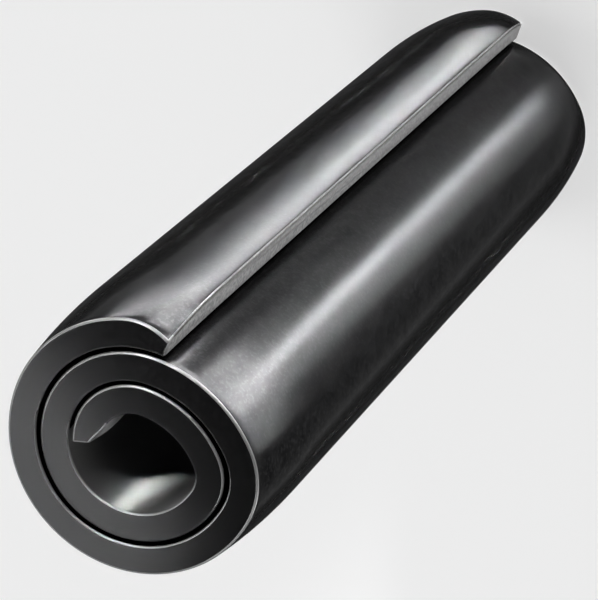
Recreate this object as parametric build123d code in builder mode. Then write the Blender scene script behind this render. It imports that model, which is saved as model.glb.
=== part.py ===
"""Coiled spring pin, heavy-duty series, 10 mm nominal: one strip rolled into two and a third turns.

The pin stands on its end. +Z runs along the pin, the origin is the centre of the
lower mouth, and the free outer edge of the strip (the seam) lies in the XZ plane.
Seen from above, the strip winds inwards anticlockwise. All sizes are in millimetres.
"""

from build123d import *
from math import cos, degrees, radians, sqrt
import os

# ---- the pin before it is driven ----
free_diameter = 10.4  # over the outer wrap
pin_length = 45.0
strip_thickness = 1.1
outer_gap = 0.16  # clearance between the first and second wraps
inner_gap = 0.14  # clearance between the second and third wraps

# ---- the coil, as angles about the pin's axis ----
step_end_angle = 4.0  # how far past the seam each step is complete
outer_step_angle = 92.0  # the first wrap ducks under the seam over this much of its end
inner_step_angle = 120.0  # the second wrap ducks under the first
inner_wrap_angle = 107.0  # what is left of the strip after the second step

# ---- the swaged ends ----
swage_depth = 0.325  # radial, so the mouths measure 9.75 across
swage_length = 5.5
edge_rounding = 0.07  # on every edge of the strip
press_depth = 0.45  # how far the swaging dies flatten the strip's free corners
outer_press_length = 1.3  # of the flat, round the mouth
outer_press_runout = 3.0  # of the flat, down the pin
inner_press_length = 0.8
inner_press_runout = 2.5

free_radius = free_diameter / 2
outer_wrap_angle = 360 + step_end_angle - outer_step_angle
middle_wrap_angle = 360 - inner_step_angle
middle_radius = free_radius - strip_thickness - outer_gap
inner_radius = middle_radius - strip_thickness - inner_gap
strip_angle = 720 + step_end_angle + inner_wrap_angle
swage_radius = (swage_length**2 + swage_depth**2) / (2 * swage_depth)


def polar_point(radius, angle, height=0.0):
    """A point at a radius and an angle from the pin's axis."""
    return Vector(radius, 0, height).rotate(Axis.Z, angle)


def swaged_radius(radius, height):
    """The radius that a wall of the straight body has at this height above the lower mouth."""
    inside = max(swage_length - height, 0.0)
    return radius - swage_radius + sqrt(swage_radius**2 - inside**2)


class Bend:
    """One stretch of the strip, bent to a single radius about its own centre."""

    def __init__(self, radius, start, sweep, centre):
        self.radius = radius
        self.start = start
        self.sweep = sweep
        self.centre = centre


def wrap(radius, start, sweep):
    """A stretch that is round about the pin's own axis."""
    return [Bend(radius, start, sweep, Vector(0, 0, 0))]


def step_in(radius, pitch, start, sweep):
    """Two bends, tight then slack, that bring the strip in by one pitch and meet both wraps in tangency."""
    half = sweep / 2
    shift = pitch / (2 * (1 - cos(radians(half))))
    tight = Bend(radius - shift, start, half, polar_point(shift, start))
    slack = Bend(radius - pitch + shift, start + half, half, polar_point(-shift, start + sweep))
    return [tight, slack]


def roll_up():
    """The whole strip, from the seam to its inner end."""
    bends = wrap(free_radius, 0.0, outer_wrap_angle)
    turned = outer_wrap_angle
    bends += step_in(free_radius, free_radius - middle_radius, turned, outer_step_angle)
    turned += outer_step_angle
    bends += wrap(middle_radius, turned, middle_wrap_angle)
    turned += middle_wrap_angle
    bends += step_in(middle_radius, middle_radius - inner_radius, turned, inner_step_angle)
    turned += inner_step_angle
    bends += wrap(inner_radius, turned, inner_wrap_angle)
    return bends


def strip_outline(radius):
    """The strip cut lengthways: even in thickness, with both ends curving in to the mouths."""
    outer = radius
    inner = radius - strip_thickness
    top = pin_length
    with BuildLine() as outline:
        Line((outer, swage_length), (outer, top - swage_length))
        RadiusArc((outer, top - swage_length), (outer - swage_depth, top), -swage_radius)
        Line((outer - swage_depth, top), (inner - swage_depth, top))
        RadiusArc((inner - swage_depth, top), (inner, top - swage_length), swage_radius)
        Line((inner, top - swage_length), (inner, swage_length))
        RadiusArc((inner, swage_length), (inner - swage_depth, 0), swage_radius)
        Line((inner - swage_depth, 0), (outer - swage_depth, 0))
        RadiusArc((outer - swage_depth, 0), (outer, swage_length), -swage_radius)
    return outline.line


press_margin = 1.5  # the cutter's size over that of the flat it leaves


def press_flat(first, second, runout, thickness):
    """Metal that is pressed off a corner of the lower mouth, outside a flat through these three points."""
    across = first - second
    flat = Plane((first + second) / 2, x_dir=across, z_dir=across.cross(runout - second))
    with BuildPart() as pressing:
        with BuildSketch(flat):
            Rectangle(press_margin * across.length, 2 * press_margin * runout.Z)
        extrude(amount=thickness)
    return pressing.part


def at_both_mouths(pressing):
    """The same pressing at the lower mouth and, mirrored, at the upper one."""
    with BuildPart() as pair:
        add(pressing)
        mirror(about=Plane.XY.offset(pin_length / 2))
    return pair.part


mouth_radius = free_radius - swage_depth
outer_pressing = press_flat(
    polar_point(mouth_radius, degrees(outer_press_length / mouth_radius)),
    polar_point(mouth_radius - press_depth, 0),
    polar_point(swaged_radius(free_radius, outer_press_runout), 0, outer_press_runout),
    strip_thickness,
)
bore_radius = inner_radius - strip_thickness
bore_mouth_radius = bore_radius - swage_depth
inner_pressing = press_flat(
    polar_point(bore_mouth_radius, strip_angle - degrees(inner_press_length / bore_mouth_radius)),
    polar_point(bore_mouth_radius + press_depth, strip_angle),
    polar_point(swaged_radius(bore_radius, inner_press_runout), strip_angle, inner_press_runout),
    press_depth,
)

with BuildPart() as coiled_pin:
    for bend in roll_up():
        lengthways = Plane(bend.centre, polar_point(1, bend.start), -polar_point(1, bend.start + 90))
        with BuildSketch(lengthways):
            make_face(strip_outline(bend.radius).edges())
        revolve(axis=Axis(bend.centre, (0, 0, 1)), revolution_arc=bend.sweep)
    add(at_both_mouths(outer_pressing), mode=Mode.SUBTRACT)
    fillet(coiled_pin.faces().filter_by(GeomType.PLANE).edges(), edge_rounding)
    add(at_both_mouths(inner_pressing), mode=Mode.SUBTRACT)

coiled_pin.part.label = "coiled_pin"
os.makedirs("parts", exist_ok=True)
export_step(coiled_pin.part, "parts/coiled_pin.step")
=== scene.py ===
import math

import bmesh
import bpy
from mathutils import Matrix, Quaternion, Vector


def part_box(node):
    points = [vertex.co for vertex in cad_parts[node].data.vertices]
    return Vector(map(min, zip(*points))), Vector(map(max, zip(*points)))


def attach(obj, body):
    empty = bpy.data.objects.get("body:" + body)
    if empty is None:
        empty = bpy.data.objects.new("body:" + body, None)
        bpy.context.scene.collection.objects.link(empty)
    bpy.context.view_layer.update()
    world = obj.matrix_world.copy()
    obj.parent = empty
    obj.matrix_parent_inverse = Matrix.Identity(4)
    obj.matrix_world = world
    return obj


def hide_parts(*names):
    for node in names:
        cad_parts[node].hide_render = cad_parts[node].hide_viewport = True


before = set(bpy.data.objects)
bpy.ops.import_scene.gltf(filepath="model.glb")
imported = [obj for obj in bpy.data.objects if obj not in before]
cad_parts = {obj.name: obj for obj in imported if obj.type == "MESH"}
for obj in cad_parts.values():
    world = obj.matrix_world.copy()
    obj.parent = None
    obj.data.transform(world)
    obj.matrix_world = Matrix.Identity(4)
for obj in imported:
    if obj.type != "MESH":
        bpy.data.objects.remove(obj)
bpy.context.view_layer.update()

MM = 0.001
UP = Vector((0, 0, 1))

# ---- the strip, as it is rolled ----
FREE_RADIUS = 5.2 * MM
STRIP_THICKNESS = 1.1 * MM
OUTER_PITCH = STRIP_THICKNESS + 0.16 * MM
INNER_PITCH = STRIP_THICKNESS + 0.14 * MM
STEP_END_ANGLE = 4.0
OUTER_STEP_ANGLE = 102.0
INNER_STEP_ANGLE = 106.0
INNER_WRAP_ANGLE = 107.0

# ---- the swage, and the flats that its dies press on the strip's free corners ----
SWAGE_DEPTH = 0.325 * MM
SWAGE_LENGTH = 5.5 * MM
SWAGE_WINDING = 1.5  # degrees that swaging winds each end up
PRESS_DEPTH = 0.78 * MM
LOWER_PRESS_DEPTH = 0.45 * MM
OUTER_PRESS_LENGTH = 2.1 * MM
OUTER_PRESS_RUNOUT = 4.2 * MM
INNER_PRESS_LENGTH = 0.8 * MM
INNER_PRESS_RUNOUT = 2.5 * MM
PRESS_EASE = 0.8

# ---- the edges, how bare of oxide they are, and where they carry a painted glint ----
EDGE_ROUNDING = 0.08 * MM
EDGE_SEGMENTS = 3
SHARP_ANGLE = 40.0
GLINT_SIDE = 190.0  # the side, in degrees round, where the strip's inner edge is painted pale: a painted glint where the light catches it, over bare wear
GLINT_HALF_ANGLE = 60.0
GLINT_FADE = 45.0
LEAST_WEAR = 0.1
LIP_WEAR_AND_GLINT_ANGLE = 40.0  # the last stretch of the strip, in the bore, is pale on both edges, as wear and a painted glint
SEAM_EDGE_START = 4 * EDGE_ROUNDING  # height above an end where the seam's own edges begin
SEAM_EDGE_SHEAR_AND_LIGHT = 0.35  # how much of the paler sheared finish they take: partly sheared metal, partly painted light over the dark line they reflect

# ---- rows of faces ----
ROLLING_STEP = 2.5  # degrees turned by each row round the strip
END_ROW = 0.4 * MM
END_ROWS = 15
BODY_ROW = 2.2 * MM
BODY_ROWS = 14

# ---- marks on the points and faces ----
OUTER_SIDE = 1.0
INNER_SIDE = -1.0
SAME_TURN = 0.01  # degrees between the points of a face that lies across the strip
LEVEL = 0.999  # how far the normal of a level face rises or falls
BORE_TURN = 370.0  # the last turn of the strip's inner side lines the bore
SKIN_MATERIAL = 0
BORE_MATERIAL = 1

low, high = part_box("coiled_pin")
PIN_LENGTH = high.z - low.z
SWAGE_RADIUS = (SWAGE_LENGTH**2 + SWAGE_DEPTH**2) / (2 * SWAGE_DEPTH)


def swage_at(height):
    """How far swaging draws the strip in at this height."""
    inside = max(SWAGE_LENGTH - min(height, PIN_LENGTH - height), 0.0)
    return SWAGE_RADIUS - math.sqrt(SWAGE_RADIUS**2 - inside**2)


def eased(slope):
    """A straight ramp whose start is rounded off, so that a pressed flat runs out softly."""
    return slope**2 / (2 * PRESS_EASE) if slope < PRESS_EASE else slope - PRESS_EASE / 2


def polar(radius, angle):
    """The point at this radius, this many degrees round from +X towards +Y."""
    return Vector((radius, 0, 0)) @ Matrix.Rotation(math.radians(-angle), 3, "Z")


def rolling_bends():
    """The strip's bends, as (centre, start angle, sweep), each tangent to the one before."""
    turned = 360 + STEP_END_ANGLE - OUTER_STEP_ANGLE
    bends = [(Vector(), 0.0, turned)]
    for pitch, step, wrap in (
        (OUTER_PITCH, OUTER_STEP_ANGLE, 360 - INNER_STEP_ANGLE),
        (INNER_PITCH, INNER_STEP_ANGLE, INNER_WRAP_ANGLE),
    ):
        half = step / 2
        shift = pitch / (2 * (1 - math.cos(math.radians(half))))
        bends.append((polar(shift, turned), turned, half))
        bends.append((polar(-shift, turned + step), turned + half, half))
        turned += step
        bends.append((Vector(), turned, wrap))
        turned += wrap
    return bends


def row_heights():
    """Where the strip is cut into rows of faces: close at the swaged ends, wide between them."""
    lower = [END_ROW * i for i in range(1, END_ROWS + 1)]
    upper = [PIN_LENGTH - height for height in lower]
    middle = [lower[-1] + BODY_ROW * i for i in range(1, BODY_ROWS + 1)]
    return lower + upper + middle


def strip_section(bm):
    """The strip's face at the seam: one face, cut into rows along its sides and swaged."""
    inner = FREE_RADIUS - STRIP_THICKNESS
    corners = [(inner, 0), (FREE_RADIUS, 0), (FREE_RADIUS, PIN_LENGTH), (inner, PIN_LENGTH)]
    bm.faces.new([bm.verts.new((x, 0, z)) for x, z in corners])
    for height in row_heights():
        parts = bm.verts[:] + bm.edges[:] + bm.faces[:]
        bmesh.ops.bisect_plane(bm, geom=parts, plane_co=UP * height, plane_no=UP)
    bmesh.ops.dissolve_edges(bm, edges=[e for e in bm.edges if len(e.link_faces) == 2])
    side = bm.verts.layers.float.new("side")
    for v in bm.verts:
        v[side] = OUTER_SIDE if v.co.x > inner + STRIP_THICKNESS / 2 else INNER_SIDE
        v.co.x -= swage_at(v.co.z)


def roll_up(bm):
    """Spin the section round each bend, note how far each point is turned, and close the far end."""
    turn = bm.verts.layers.float.new("turn")
    ring = bm.verts[:] + bm.edges[:]
    for centre, start, sweep in rolling_bends():
        steps = math.ceil(sweep / ROLLING_STEP)
        angle = math.radians(sweep / steps)
        for i in range(steps):
            made = bmesh.ops.spin(bm, geom=ring, cent=centre, axis=UP, angle=angle, steps=1)
            ring = made["geom_last"]
            for v in ring:
                if isinstance(v, bmesh.types.BMVert):
                    v[turn] = start + sweep * (i + 1) / steps
    rim = [e for e in ring if isinstance(e, bmesh.types.BMEdge)]
    bmesh.ops.contextual_create(bm, geom=rim)
    return max(v[turn] for v in bm.verts)


def swage_ends(bm, end):
    """Press the flats on the strip's four free corners, and wind both ends of the pin up."""
    side = bm.verts.layers.float["side"]
    turn = bm.verts.layers.float["turn"]
    for v in bm.verts:
        height = min(v.co.z, PIN_LENGTH - v.co.z)
        if v[side] > 0:
            along = math.radians(v[turn]) * FREE_RADIUS
            flat = 1 - along / OUTER_PRESS_LENGTH - height / OUTER_PRESS_RUNOUT
            outwards = -PRESS_DEPTH if v.co.z > PIN_LENGTH / 2 else -LOWER_PRESS_DEPTH
        else:
            along = math.radians(end - v[turn]) * v.co.xy.length
            flat = 1 - along / INNER_PRESS_LENGTH - height / INNER_PRESS_RUNOUT
            outwards = PRESS_DEPTH
        if flat > 0:
            v.co.xy += v.co.xy.normalized() * outwards * eased(flat)
        unwound = SWAGE_WINDING * (1 - swage_at(v.co.z) / SWAGE_DEPTH)
        v.co.rotate(Quaternion(UP, math.radians(-unwound)))


def mark_strip_faces(bm, end):
    """Mark the two sheared faces across the strip, and give the bore its own material."""
    side = bm.verts.layers.float["side"]
    turn = bm.verts.layers.float["turn"]
    sheared = bm.faces.layers.float["sheared"]
    for f in bm.faces:
        turns = [v[turn] for v in f.verts]
        if max(turns) - min(turns) < SAME_TURN:
            f[sheared] = 1.0
        if max(v[side] for v in f.verts) < 0 and min(turns) > end - BORE_TURN:
            f.material_index = BORE_MATERIAL


def wear_and_glint_at(side, turned):
    """How pale an end's edge is: bare of oxide, with a painted glint on the side the light catches.

    The inner edge has the painted glint on the glint side. The outer edge is pale all round on the
    outer turn, and, as a painted glint, everywhere but on the glint side further in.
    """
    away = abs((turned - GLINT_SIDE + 180) % 360 - 180)
    glint = min(max(1 - (away - GLINT_HALF_ANGLE) / GLINT_FADE, 0.0), 1.0)
    if side > 0:
        glint = 1 - glint if turned > 360 else 1.0
    return LEAST_WEAR + (1 - LEAST_WEAR) * glint


def round_edges(bm, end):
    """Round every sharp edge, pale at the pin's ends with wear and painted glints, and along the seam
    partly given the paler sheared finish, which paints light over the dark line they reflect.
    """
    side = bm.verts.layers.float["side"]
    turn = bm.verts.layers.float["turn"]
    wear_and_painted_glint = bm.faces.layers.float["wear_and_painted_glint"]
    sheared = bm.faces.layers.float["sheared"]
    sharp = [e for e in bm.edges if e.calc_face_angle() > math.radians(SHARP_ANGLE)]
    bevel = {"offset": EDGE_ROUNDING, "segments": EDGE_SEGMENTS, "profile": 0.5, "affect": "EDGES"}
    made = bmesh.ops.bevel(bm, geom=sharp, material=-1, clamp_overlap=False, **bevel)
    for f in made["faces"]:
        outside = sum(v[side] for v in f.verts) / len(f.verts)
        turned = sum(v[turn] for v in f.verts) / len(f.verts)
        height = f.calc_center_median().z
        if min(height, PIN_LENGTH - height) > SEAM_EDGE_START:
            # The seam's edges take part of the paler sheared finish, partly as painted light over the
            # dark line they reflect.
            f[wear_and_painted_glint] = 0.0
            f[sheared] = SEAM_EDGE_SHEAR_AND_LIGHT
        else:
            # Pale end edges: wear, and a painted glint on the side the light catches.
            at_lip = end - turned < LIP_WEAR_AND_GLINT_ANGLE
            f[wear_and_painted_glint] = 1.0 if at_lip else wear_and_glint_at(outside, turned)
            f[sheared] = 0.0
        f.material_index = SKIN_MATERIAL


def shade_faces(bm):
    """Mark the cut ends, and shade all but them and the sheared faces smooth."""
    sheared = bm.faces.layers.float["sheared"]
    cut_end = bm.faces.layers.float["cut_end"]
    for f in bm.faces:
        level = abs(f.normal.z) > LEVEL
        f[cut_end] = float(level)
        f.smooth = not level and f[sheared] == 0


def rolled_strip():
    bm = bmesh.new()
    strip_section(bm)
    end = roll_up(bm)
    swage_ends(bm, end)
    bmesh.ops.recalc_face_normals(bm, faces=bm.faces)
    for mark in ("wear_and_painted_glint", "sheared", "cut_end"):
        bm.faces.layers.float.new(mark)
    mark_strip_faces(bm, end)
    round_edges(bm, end)
    bm.normal_update()
    shade_faces(bm)
    mesh = bpy.data.meshes.new("rolled_strip")
    bm.to_mesh(mesh)
    bm.free()
    piece = bpy.data.objects.new("rolled_strip", mesh)
    bpy.context.scene.collection.objects.link(piece)
    return piece


# ---- nodes ----
def add_node(tree, kind, **settings):
    node = tree.nodes.new(kind)
    for name, value in settings.items():
        setattr(node, name, value)
    return node


def feed(tree, socket, source):
    """Link a socket to another one, or set it where the source is a plain value."""
    if isinstance(source, bpy.types.NodeSocket):
        tree.links.new(source, socket)
    else:
        socket.default_value = source


def blend(tree, kind, mask, low, high):
    """Goes from low to high with the mask. Either end may be a plain value or a socket."""
    mix = add_node(tree, "ShaderNodeMix", data_type=kind)
    feed(tree, mix.inputs["Factor"], mask)
    feed(tree, mix.inputs["A"], low)
    feed(tree, mix.inputs["B"], high)
    return mix.outputs["Result"]


def ramp(tree, value, start, full, bottom=0.0, top=1.0):
    """Goes from bottom to top while the value goes from start to full."""
    node = add_node(tree, "ShaderNodeMapRange")
    feed(tree, node.inputs["Value"], value)
    feed(tree, node.inputs["From Min"], start)
    feed(tree, node.inputs["From Max"], full)
    feed(tree, node.inputs["To Min"], bottom)
    feed(tree, node.inputs["To Max"], top)
    return node.outputs["Result"]


def calculate(tree, operation, first, second):
    node = add_node(tree, "ShaderNodeMath", operation=operation)
    feed(tree, node.inputs[0], first)
    feed(tree, node.inputs[1], second)
    return node.outputs[0]


def mix_shaders(tree, mask, first, second):
    mix = add_node(tree, "ShaderNodeMixShader")
    feed(tree, mix.inputs[0], mask)
    feed(tree, mix.inputs[1], first)
    feed(tree, mix.inputs[2], second)
    return mix.outputs[0]


def new_material(name):
    material = bpy.data.materials.new(name)
    material.use_nodes = True
    return material, material.node_tree


# ---- black oxide finish ----
OXIDE_COLOR = (0.014, 0.014, 0.0145, 1)
OXIDE_PALE_COLOR = (0.025, 0.025, 0.0255, 1)
OXIDE_DUST_COLOR = (0.041, 0.041, 0.042, 1)
CUT_END_COLOR = (0.0235, 0.0235, 0.024, 1)
# Pale steel of the end edges: bare wear, and a painted glint where the light catches them.
EDGE_STEEL_AND_GLINT_COLOR = (0.18, 0.18, 0.18, 1)
SHEARED_COLOR = (0.12, 0.12, 0.12, 1)
SHEARED_PALE_COLOR = (0.26, 0.26, 0.26, 1)
OXIDE_ROUGHNESS = 0.205
ROUGHNESS_SPREAD = 0.03
EDGE_ROUGHNESS = 0.45
SHEARED_ROUGHNESS = 0.75
GRAIN_SIZE = 0.14 * MM
GRAIN_DETAIL = 2.0
GRAIN_DEPTH = 0.0007 * MM
MOTTLE_SIZE = 0.55 * MM
MOTTLE_DETAIL = 3.0
NOISE_LOW = 0.3  # the range of the noise that is spread over 0 to 1
NOISE_HIGH = 0.7
DUST_START = 0.5  # the speckle above this is dust
DUST_COVER = 0.7

# Seen at a glancing angle, the skin is duller, and its rims get a darker tint: a painted shade over
# the pale floor that they reflect. Layer Weight's Facing rises to 1 there.
GRAZING_TINT = (0.46, 0.46, 0.46, 1)
RIM_SHADE_TINT = (0.12, 0.12, 0.12, 1)
RIM_SHADE_FROM = 0.72
RIM_SHADE_TO = 0.83
RIM_ROUGHNESS = 0.65
DULL_FROM = 0.80
DULL_TO = 0.90


def rolled_grain_group():
    """Fine speckle and soft mottling of an oxide skin, each from 0 to 1."""
    group = bpy.data.node_groups.new("rolled_grain", "ShaderNodeTree")
    for name, size in (("Grain Size", GRAIN_SIZE), ("Mottle Size", MOTTLE_SIZE)):
        socket = group.interface.new_socket(name, in_out="INPUT", socket_type="NodeSocketFloat")
        socket.default_value = size
    for name in ("Speckle", "Mottle"):
        group.interface.new_socket(name, in_out="OUTPUT", socket_type="NodeSocketFloat")
    given = add_node(group, "NodeGroupInput")
    result = add_node(group, "NodeGroupOutput")
    place = add_node(group, "ShaderNodeTexCoord")
    for size, name, detail in (
        ("Grain Size", "Speckle", GRAIN_DETAIL),
        ("Mottle Size", "Mottle", MOTTLE_DETAIL),
    ):
        noise = add_node(group, "ShaderNodeTexNoise")
        feed(group, noise.inputs["Vector"], place.outputs["Object"])
        feed(group, noise.inputs["Scale"], calculate(group, "DIVIDE", 1.0, given.outputs[size]))
        feed(group, noise.inputs["Detail"], detail)
        spread = ramp(group, noise.outputs["Fac"], NOISE_LOW, NOISE_HIGH)
        feed(group, result.inputs[name], spread)
    return group


def oxide_color(tree, speckle, mottle, marks):
    color = blend(tree, "RGBA", mottle, OXIDE_COLOR, OXIDE_PALE_COLOR)
    dust = ramp(tree, speckle, DUST_START, 1.0, top=DUST_COVER)
    color = blend(tree, "RGBA", dust, color, OXIDE_DUST_COLOR)
    color = blend(tree, "RGBA", marks["cut_end"], color, CUT_END_COLOR)
    sheared = blend(tree, "RGBA", speckle, SHEARED_COLOR, SHEARED_PALE_COLOR)
    color = blend(tree, "RGBA", marks["sheared"], color, sheared)
    # The end edges turn pale steel: partly wear, partly a painted glint on the side the light
    # catches.
    return blend(tree, "RGBA", marks["wear_and_painted_glint"], color, EDGE_STEEL_AND_GLINT_COLOR)


def oxide_roughness(tree, speckle, marks, facing):
    glossiest = OXIDE_ROUGHNESS - ROUGHNESS_SPREAD
    dullest = OXIDE_ROUGHNESS + ROUGHNESS_SPREAD
    rough = blend(tree, "FLOAT", speckle, glossiest, dullest)
    rough = blend(tree, "FLOAT", marks["sheared"], rough, SHEARED_ROUGHNESS)
    rough = blend(tree, "FLOAT", marks["wear_and_painted_glint"], rough, EDGE_ROUGHNESS)
    return blend(tree, "FLOAT", ramp(tree, facing, DULL_FROM, DULL_TO), rough, RIM_ROUGHNESS)


def black_oxide():
    material, tree = new_material("black_oxide_steel")
    grain = add_node(tree, "ShaderNodeGroup", node_tree=rolled_grain_group())
    speckle = grain.outputs["Speckle"]
    marks = {}
    for name in ("wear_and_painted_glint", "sheared", "cut_end"):
        marks[name] = add_node(tree, "ShaderNodeAttribute", attribute_name=name).outputs["Fac"]
    facing = add_node(tree, "ShaderNodeLayerWeight").outputs["Facing"]
    # painted shade: the reflection is tinted darker towards the rims
    painted_rim_shade = ramp(tree, facing, RIM_SHADE_FROM, RIM_SHADE_TO)
    bump = add_node(tree, "ShaderNodeBump")
    feed(tree, bump.inputs["Distance"], GRAIN_DEPTH)
    feed(tree, bump.inputs["Height"], speckle)
    finish = tree.nodes["Principled BSDF"].inputs
    feed(tree, finish["Metallic"], 1.0)
    feed(tree, finish["Base Color"], oxide_color(tree, speckle, grain.outputs["Mottle"], marks))
    feed(tree, finish["Roughness"], oxide_roughness(tree, speckle, marks, facing))
    feed(tree, finish["Specular Tint"], GRAZING_TINT)
    feed(tree, finish["Specular Tint"], blend(tree, "RGBA", painted_rim_shade, GRAZING_TINT, RIM_SHADE_TINT))
    feed(tree, finish["Normal"], bump.outputs["Normal"])
    return material


# ---- the bore, where the oxide is thin over the mill's marks ----
BORE_COLOR = (0.14, 0.14, 0.14, 1)
BORE_ROUGHNESS = 0.50
MILL_MARKS = 1.0
MILL_MARKS_TURN = 0.25


def milled_bore():
    """Marks that run round the bore spread light along it, and leave it in a band."""
    material, tree = new_material("milled_bore")
    marks = add_node(tree, "ShaderNodeTangent", direction_type="RADIAL", axis="Z")
    finish = tree.nodes["Principled BSDF"].inputs
    feed(tree, finish["Base Color"], BORE_COLOR)
    feed(tree, finish["Metallic"], 1.0)
    feed(tree, finish["Roughness"], BORE_ROUGHNESS)
    feed(tree, finish["Anisotropic"], MILL_MARKS)
    feed(tree, finish["Anisotropic Rotation"], MILL_MARKS_TURN)
    feed(tree, finish["Tangent"], marks.outputs["Tangent"])
    return material


strip = rolled_strip()
strip.data.materials.append(black_oxide())
strip.data.materials.append(milled_bore())
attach(strip, "root")
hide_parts("coiled_pin")

# ---- floor ----
FLOOR_SIZE = 6.0
FLOOR_COLOR = (0.90, 0.90, 0.90, 1)
FLOOR_PALER = 0.5  # how far the floor is paled towards white where it is seen


def floor_card():
    """Plain pale card, which blocks no lamp, so that lamps below it light the pin too."""
    material, tree = new_material("pale_floor")
    tree.nodes.clear()
    card = add_node(tree, "ShaderNodeBsdfDiffuse")
    feed(tree, card.inputs["Color"], FLOOR_COLOR)
    white = add_node(tree, "ShaderNodeEmission").outputs[0]
    clear = add_node(tree, "ShaderNodeBsdfTransparent").outputs[0]
    ray = add_node(tree, "ShaderNodeLightPath").outputs
    seen = calculate(tree, "MAXIMUM", ray["Is Camera Ray"], ray["Is Glossy Ray"])
    seen = calculate(tree, "MAXIMUM", seen, ray["Is Transmission Ray"])
    paler = calculate(tree, "MULTIPLY", seen, FLOOR_PALER)
    pale_card = mix_shaders(tree, paler, card.outputs[0], white)
    surface = add_node(tree, "ShaderNodeOutputMaterial").inputs["Surface"]
    feed(tree, surface, mix_shaders(tree, ray["Is Shadow Ray"], pale_card, clear))
    return material


def pale_floor():
    bm = bmesh.new()
    bmesh.ops.create_grid(bm, x_segments=1, y_segments=1, size=FLOOR_SIZE / 2)
    mesh = bpy.data.meshes.new("pale_floor")
    bm.to_mesh(mesh)
    bm.free()
    mesh.materials.append(floor_card())
    floor = bpy.data.objects.new("pale_floor", mesh)
    bpy.context.scene.collection.objects.link(floor)


pale_floor()

# ---- lamps, in metres and degrees ----
PIN_MIDDLE = Vector((0, 0, PIN_LENGTH / 2))
PIN_TOP = Vector((0, 0, PIN_LENGTH))
LAMP_DISTANCE = 0.40
FLOOR_LAMP_DISTANCE = 0.60


def towards(azimuth, elevation):
    """The direction at this many degrees round from +X towards +Y, and up from the floor."""
    turn, rise = math.radians(azimuth), math.radians(elevation)
    level = math.cos(rise)
    return Vector((math.cos(turn) * level, math.sin(turn) * level, math.sin(rise)))


def softbox(
    name, azimuth, elevation, width, height, level, distance=LAMP_DISTANCE, aim=PIN_MIDDLE, spread=180
):
    """A rectangular lamp that faces the point it is aimed at.

    Its level is the light that it throws straight on, where 1 lights white card to white.
    All of it comes by shadow rays, which the floor lets through.
    """
    data = bpy.data.lights.new(name, "AREA")
    data.shape = "RECTANGLE"
    data.size = width
    data.size_y = height
    data.spread = math.radians(spread)
    half = data.spread / 2
    data.energy = level * 4 * math.pi * distance**2 * (1 - half / math.tan(half))
    data.cycles.use_multiple_importance_sampling = False
    lamp = bpy.data.objects.new(name, data)
    lamp.location = aim + towards(azimuth, elevation) * distance
    lamp.rotation_mode = "QUATERNION"
    lamp.rotation_quaternion = towards(azimuth, elevation).to_track_quat("Z", "Y")
    lamp.visible_camera = False
    bpy.context.scene.collection.objects.link(lamp)


# A bright band on the wall, left and right of the seam, each in steps that fade outwards.
softbox("band_left", azimuth=31, elevation=-61, width=0.065, height=0.13, level=0.50)
softbox("band_left_mid", azimuth=42, elevation=-61, width=0.075, height=0.13, level=0.17)
softbox("band_left_soft", azimuth=53, elevation=-60, width=0.075, height=0.11, level=0.05)
softbox("band_right_inner", azimuth=-14, elevation=-60, width=0.050, height=0.11, level=0.015)
softbox("band_right", azimuth=-34, elevation=-60, width=0.040, height=0.11, level=0.36)
softbox("band_right_soft", azimuth=-50, elevation=-60, width=0.050, height=0.11, level=0.10)

# The bands widen on the swage of the upper end, and the flat by the seam has its own light.
softbox("flare_left", azimuth=39, elevation=-48, width=0.28, height=0.07, level=1.0)
softbox("flare_right", azimuth=-26, elevation=-47, width=0.18, height=0.10, level=0.70)
softbox("flare_far", azimuth=-52, elevation=-49, width=0.20, height=0.08, level=0.23)
softbox("flat_light", azimuth=0, elevation=-34, width=0.20, height=0.10, level=0.7)

# A dim strip on each side gives the wall its form when it is seen level.
for side_name, side_azimuth in (("front", -24), ("left", 66), ("back", 156), ("right", 246)):
    softbox("side_" + side_name, side_azimuth, elevation=-13, width=0.050, height=0.25, level=0.30)

# The sheared seam and the sides.
softbox("front", azimuth=-24, elevation=-5, width=0.16, height=0.08, level=0.5)

# The floor, from both sides, with a soft shadow.
for side_name, side_azimuth in (("left", 110), ("right", -150)):
    softbox(
        "floor_" + side_name, side_azimuth, elevation=50, width=0.30, height=0.30, level=0.22,
        distance=FLOOR_LAMP_DISTANCE,
    )

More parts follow.
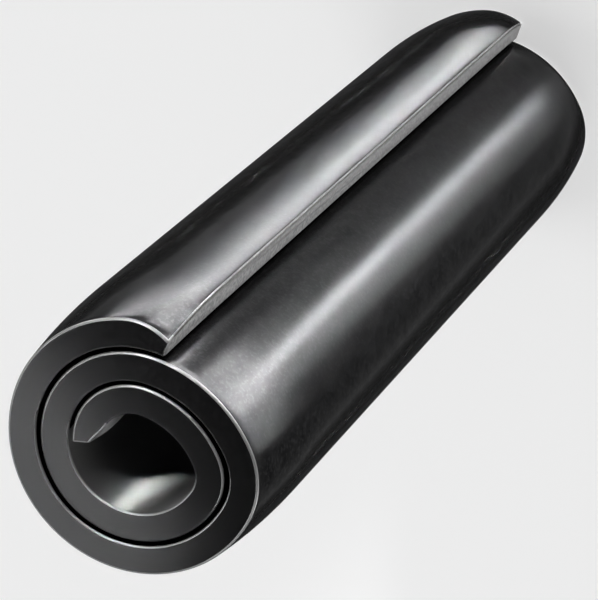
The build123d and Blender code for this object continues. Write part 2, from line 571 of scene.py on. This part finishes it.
# The cut end, and a patch of light in the bore.
softbox(
    "mouth_card", azimuth=147, elevation=50, width=0.014, height=0.006, level=0.16,
    distance=0.024, aim=PIN_TOP,
)
softbox(
    "bore_spot", azimuth=26, elevation=47, width=0.004, height=0.004, level=2.0,
    distance=0.060, aim=PIN_TOP, spread=20,
)

# ---- the room, pale round the horizon and dim overhead ----
HORIZON_LEVEL = 0.9
HORIZON_ELEVATION = 25.0
CEILING_LEVEL = 0.06
CEILING_ELEVATION = 45.0


def studio_room():
    world = bpy.data.worlds.new("studio")
    bpy.context.scene.world = world
    world.use_nodes = True
    tree = world.node_tree
    coords = add_node(tree, "ShaderNodeTexCoord")
    rise = add_node(tree, "ShaderNodeSeparateXYZ")
    feed(tree, rise.inputs["Vector"], coords.outputs["Generated"])
    start = math.sin(math.radians(HORIZON_ELEVATION))
    full = math.sin(math.radians(CEILING_ELEVATION))
    level = ramp(tree, rise.outputs["Z"], start, full, HORIZON_LEVEL, CEILING_LEVEL)
    background = tree.nodes["Background"].inputs
    feed(tree, background["Color"], (1, 1, 1, 1))
    feed(tree, background["Strength"], level)


studio_room()

# ---- camera ----
LENS = 198.1
SENSOR_WIDTH = 36
CLIP_START = 1 * MM
CAMERA_AZIMUTH = -24.302
CAMERA_ELEVATION = 62.578
CAMERA_ROLL = -133.713
CAMERA_DISTANCE = 137.162 * MM
CAMERA_AIM = Vector((-2.118, 0.678, 23.646)) * MM


def place_camera():
    data = bpy.data.cameras.new("camera")
    data.lens = LENS
    data.sensor_width = SENSOR_WIDTH
    data.clip_start = CLIP_START
    camera = bpy.data.objects.new("camera", data)
    back = towards(CAMERA_AZIMUTH, CAMERA_ELEVATION)
    roll = Quaternion(UP, math.radians(CAMERA_ROLL))
    camera.location = CAMERA_AIM + back * CAMERA_DISTANCE
    camera.rotation_mode = "QUATERNION"
    camera.rotation_quaternion = back.to_track_quat("Z", "Y") @ roll
    bpy.context.scene.collection.objects.link(camera)
    bpy.context.scene.camera = camera


place_camera()
bpy.context.scene.view_settings.view_transform = "Standard"
